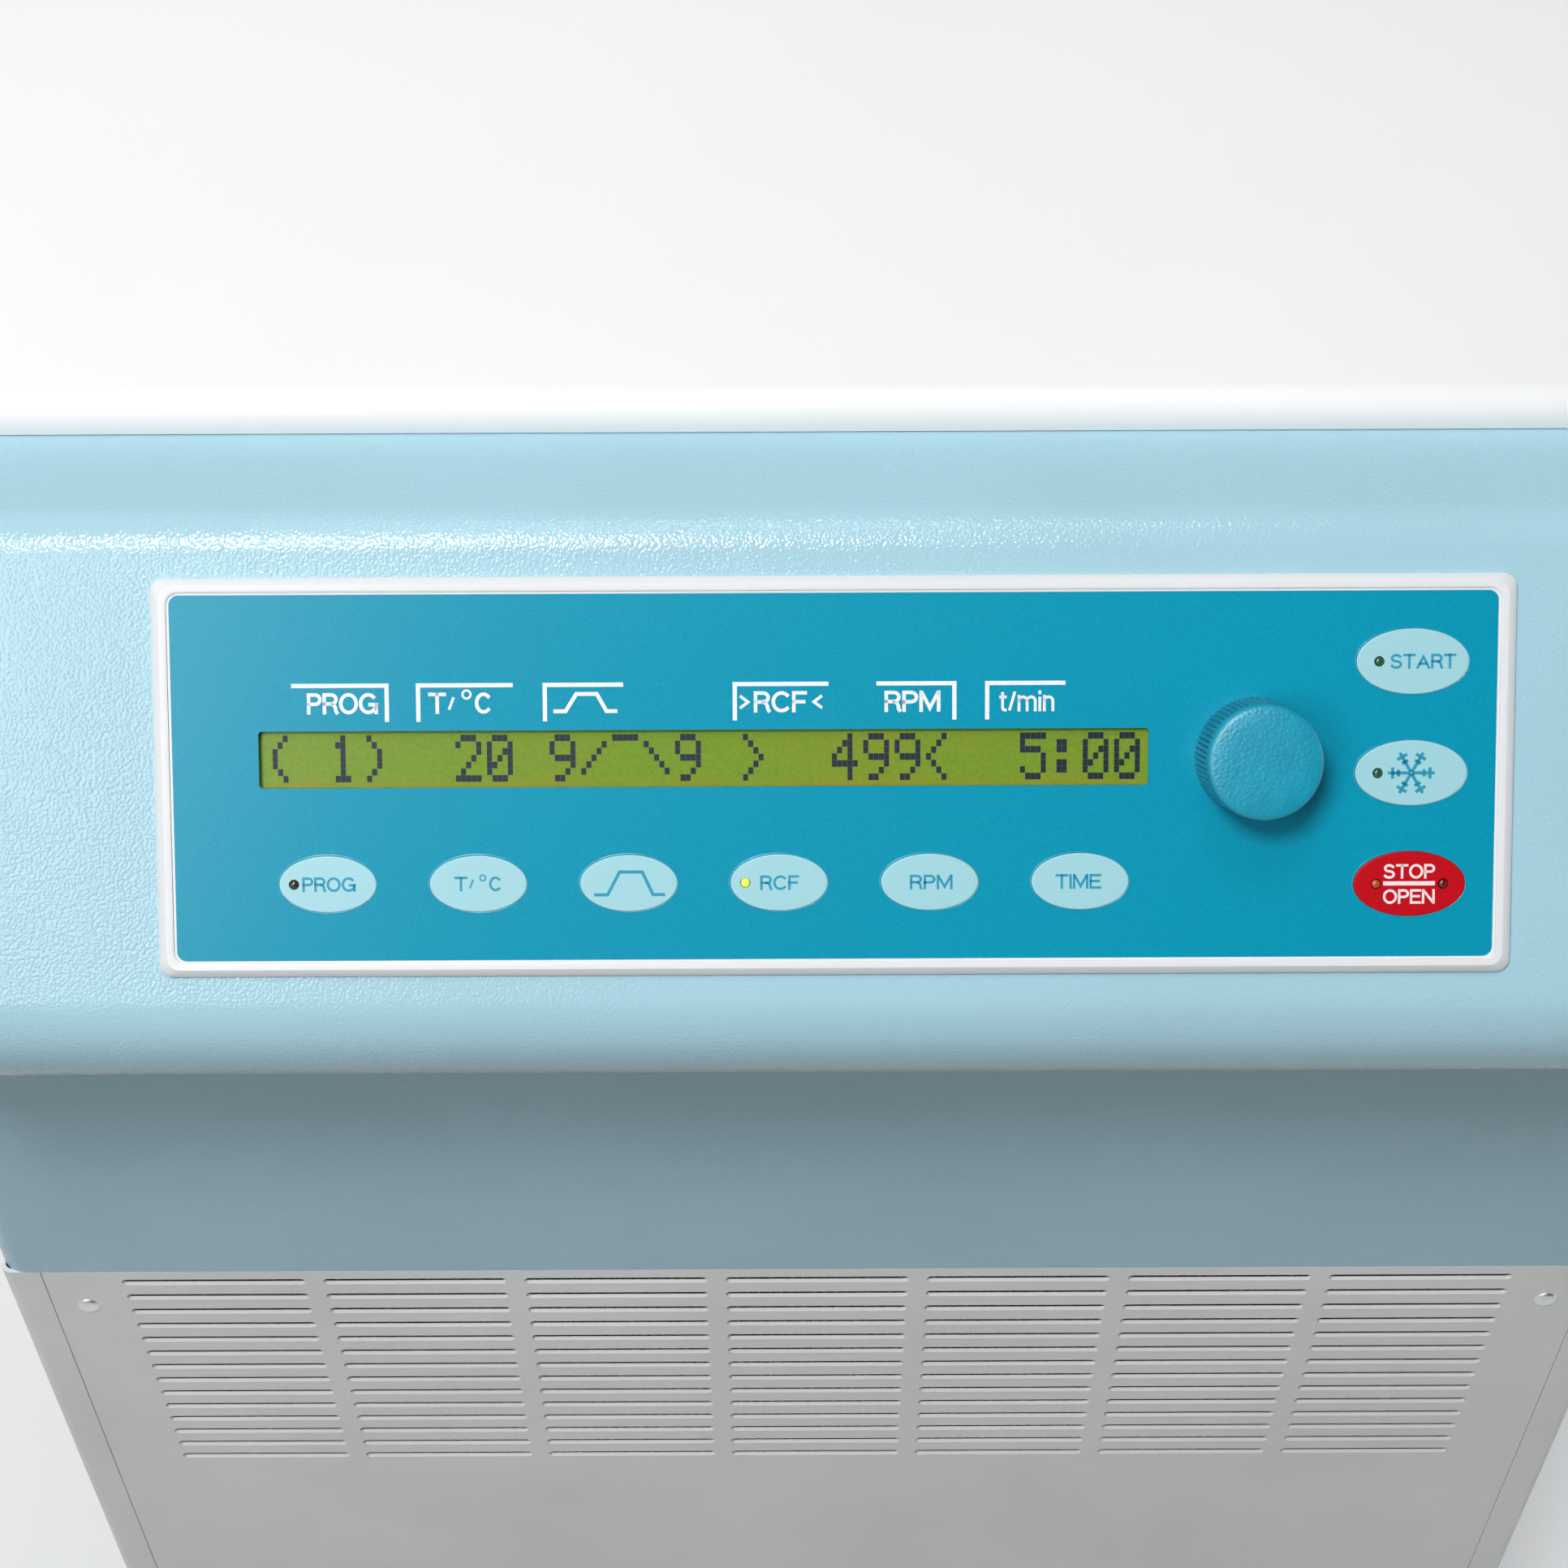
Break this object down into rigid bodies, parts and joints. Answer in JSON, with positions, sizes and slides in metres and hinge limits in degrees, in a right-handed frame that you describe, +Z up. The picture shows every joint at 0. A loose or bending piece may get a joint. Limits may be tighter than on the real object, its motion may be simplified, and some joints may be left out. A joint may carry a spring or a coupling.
{
  "type": "cytocentrifuge",
  "caption": "Refrigerated floor-standing centrifuge with hinged lid, sloping keypad with knob and display, steel chamber and swing-out slide rotor for spinning cells onto glass slides",
  "frame": {"origin": "on the floor under the middle of the machine", "axes": "+X to the right seen from the front, +Y from the control panel to the rear, +Z up"},
  "size_m": [0.554, 0.7057, 0.9724],
  "materials": {
    "cabinet_white": "semi-gloss powder coat",
    "lid_white": "smooth satin moulding",
    "housing_blue": "fine leather grain",
    "bezel_white": "satin",
    "keypad_blue": "fine satin film",
    "key_aqua": "satin film",
    "key_red": "satin film",
    "display_clear": "clear window over a yellow-green display",
    "display_case": "matt",
    "board_green": "solder resist",
    "lamp": "clear moulded",
    "knob_blue": "matt, ribbed",
    "encoder_metal": "plain",
    "chamber_steel": "brushed stainless",
    "frame_steel": "grey primer",
    "zinc_steel": "zinc plated",
    "rotor_alloy": "anodised",
    "bucket_steel": "satin stainless",
    "gasket_rubber": "matt",
    "tread_rubber": "matt",
    "foam": "rigid foam",
    "copper": "copper pipe",
    "motor_black": "satin enamel",
    "fan_black": "matt",
    "inlet_black": "matt",
    "window_clear": "clear acrylic"
  },
  "bodies": {
    "cabinet": {"chassis_frame": "frame_steel", "rear_caster_forks": "zinc_steel", "cabinet_shell": "cabinet_white", "front_panel": "cabinet_white", "upper_housing": "housing_blue", "panel_bezel": "bezel_white", "keypad_plate": "keypad_blue", "display_window": "display_clear", "display_module": "display_case", "control_board": "board_green", "indicator_lamps": "lamp", "knob_encoder": "encoder_metal", "rotor_chamber": "chamber_steel", "chamber_gasket": "gasket_rubber", "cooling_coil": "copper", "chamber_insulation": "foam", "safety_ring": "frame_steel", "motor": "motor_black", "motor_dampers": "gasket_rubber", "hinge_brackets": "zinc_steel", "hinge_pins": "zinc_steel", "lock_bracket": "zinc_steel", "compressor": "motor_black", "condenser": "rotor_alloy", "fan_shroud": "zinc_steel", "mains_inlet": "inlet_black"},
    "lid": {"lid_shell": "lid_white", "lid_liner": "chamber_steel", "lid_window": "window_clear", "lid_striker": "zinc_steel"},
    "lock": {"lock_claw": "zinc_steel"},
    "rotor": {"drive_shaft": "zinc_steel", "rotor_head": "rotor_alloy", "rotor_nut": "rotor_alloy"},
    "knob": {"control_knob": "knob_blue"},
    "fan": {"condenser_fan": "fan_black"},
    "rocker": {"mains_switch": "inlet_black"},
    "fork_left": {"front_caster_left": "zinc_steel"},
    "fork_right": {"front_caster_right": "zinc_steel"},
    "front_wheel_left": {"front_wheel_left": "tread_rubber"},
    "front_wheel_right": {"front_wheel_right": "tread_rubber"},
    "rear_wheel_left": {"rear_wheel_left": "tread_rubber"},
    "rear_wheel_right": {"rear_wheel_right": "tread_rubber"},
    "bucket_1": {"bucket_1": "bucket_steel", "slide_carrier_1": "bucket_steel"},
    "bucket_2": {"bucket_2": "bucket_steel", "slide_carrier_2": "bucket_steel"},
    "bucket_3": {"bucket_3": "bucket_steel", "slide_carrier_3": "bucket_steel"},
    "bucket_4": {"bucket_4": "bucket_steel", "slide_carrier_4": "bucket_steel"},
    "program_key": {"program_key": "key_aqua"},
    "temperature_key": {"temperature_key": "key_aqua"},
    "ramp_key": {"ramp_key": "key_aqua"},
    "rcf_key": {"rcf_key": "key_aqua"},
    "speed_key": {"speed_key": "key_aqua"},
    "time_key": {"time_key": "key_aqua"},
    "start_key": {"start_key": "key_aqua"},
    "cooling_key": {"cooling_key": "key_aqua"},
    "stop_key": {"stop_key": "key_red"}
  },
  "joints": [
    {"name": "lid_hinge", "type": "hinge", "parent": "cabinet", "child": "lid", "pos_m": [0, 0.33, 0.92], "axis": [-1, 0, 0], "range_deg": [0, 72]},
    {"name": "lid_lock", "type": "hinge", "parent": "cabinet", "child": "lock", "pos_m": [0, -0.19, 0.858], "axis": [1, 0, 0], "range_deg": [0, 35]},
    {"name": "rotor_spin", "type": "hinge", "parent": "cabinet", "child": "rotor", "pos_m": [0, 0.065, 0.8], "axis": [0, 0, 1], "continuous": true},
    {"name": "knob_turn", "type": "hinge", "parent": "cabinet", "child": "knob", "pos_m": [0.1121, -0.30872, 0.86104], "axis": [0, -0.7193, 0.6947], "continuous": true},
    {"name": "fan_spin", "type": "hinge", "parent": "cabinet", "child": "fan", "pos_m": [0, -0.181, 0.445], "axis": [0, 1, 0], "continuous": true},
    {"name": "mains_rocker", "type": "hinge", "parent": "cabinet", "child": "rocker", "pos_m": [-0.165, 0.3475, 0.17], "axis": [-1, 0, 0], "range_deg": [0, 12]},
    {"name": "front_swivel_left", "type": "hinge", "parent": "cabinet", "child": "fork_left", "pos_m": [-0.215, -0.232, 0.09], "axis": [0, 0, 1], "continuous": true},
    {"name": "front_roll_left", "type": "hinge", "parent": "fork_left", "child": "front_wheel_left", "pos_m": [-0.215, -0.208, 0.03], "axis": [1, 0, 0], "continuous": true},
    {"name": "rear_roll_left", "type": "hinge", "parent": "cabinet", "child": "rear_wheel_left", "pos_m": [-0.215, 0.27, 0.03], "axis": [1, 0, 0], "continuous": true},
    {"name": "front_swivel_right", "type": "hinge", "parent": "cabinet", "child": "fork_right", "pos_m": [0.215, -0.232, 0.09], "axis": [0, 0, 1], "continuous": true},
    {"name": "front_roll_right", "type": "hinge", "parent": "fork_right", "child": "front_wheel_right", "pos_m": [0.215, -0.208, 0.03], "axis": [1, 0, 0], "continuous": true},
    {"name": "rear_roll_right", "type": "hinge", "parent": "cabinet", "child": "rear_wheel_right", "pos_m": [0.215, 0.27, 0.03], "axis": [1, 0, 0], "continuous": true},
    {"name": "bucket_swing_1", "type": "hinge", "parent": "rotor", "child": "bucket_1", "pos_m": [0.112, 0.065, 0.799], "axis": [0, -1, 0], "range_deg": [0, 90]},
    {"name": "bucket_swing_2", "type": "hinge", "parent": "rotor", "child": "bucket_2", "pos_m": [0, 0.177, 0.799], "axis": [1, 0, 0], "range_deg": [0, 90]},
    {"name": "bucket_swing_3", "type": "hinge", "parent": "rotor", "child": "bucket_3", "pos_m": [-0.112, 0.065, 0.799], "axis": [0, 1, 0], "range_deg": [0, 90]},
    {"name": "bucket_swing_4", "type": "hinge", "parent": "rotor", "child": "bucket_4", "pos_m": [0, -0.047, 0.799], "axis": [-1, 0, 0], "range_deg": [0, 90]},
    {"name": "program_press", "type": "slide", "parent": "cabinet", "child": "program_key", "axis": [0, 0.7193, -0.6947], "range_m": [0, 0.0006], "stiffness_N_per_m": 1500},
    {"name": "temperature_press", "type": "slide", "parent": "cabinet", "child": "temperature_key", "axis": [0, 0.7193, -0.6947], "range_m": [0, 0.0006], "stiffness_N_per_m": 1500},
    {"name": "ramp_press", "type": "slide", "parent": "cabinet", "child": "ramp_key", "axis": [0, 0.7193, -0.6947], "range_m": [0, 0.0006], "stiffness_N_per_m": 1500},
    {"name": "rcf_press", "type": "slide", "parent": "cabinet", "child": "rcf_key", "axis": [0, 0.7193, -0.6947], "range_m": [0, 0.0006], "stiffness_N_per_m": 1500},
    {"name": "speed_press", "type": "slide", "parent": "cabinet", "child": "speed_key", "axis": [0, 0.7193, -0.6947], "range_m": [0, 0.0006], "stiffness_N_per_m": 1500},
    {"name": "time_press", "type": "slide", "parent": "cabinet", "child": "time_key", "axis": [0, 0.7193, -0.6947], "range_m": [0, 0.0006], "stiffness_N_per_m": 1500},
    {"name": "start_press", "type": "slide", "parent": "cabinet", "child": "start_key", "axis": [0, 0.7193, -0.6947], "range_m": [0, 0.0006], "stiffness_N_per_m": 1500},
    {"name": "cooling_press", "type": "slide", "parent": "cabinet", "child": "cooling_key", "axis": [0, 0.7193, -0.6947], "range_m": [0, 0.0006], "stiffness_N_per_m": 1500},
    {"name": "stop_press", "type": "slide", "parent": "cabinet", "child": "stop_key", "axis": [0, 0.7193, -0.6947], "range_m": [0, 0.0006], "stiffness_N_per_m": 1500}
  ]
}
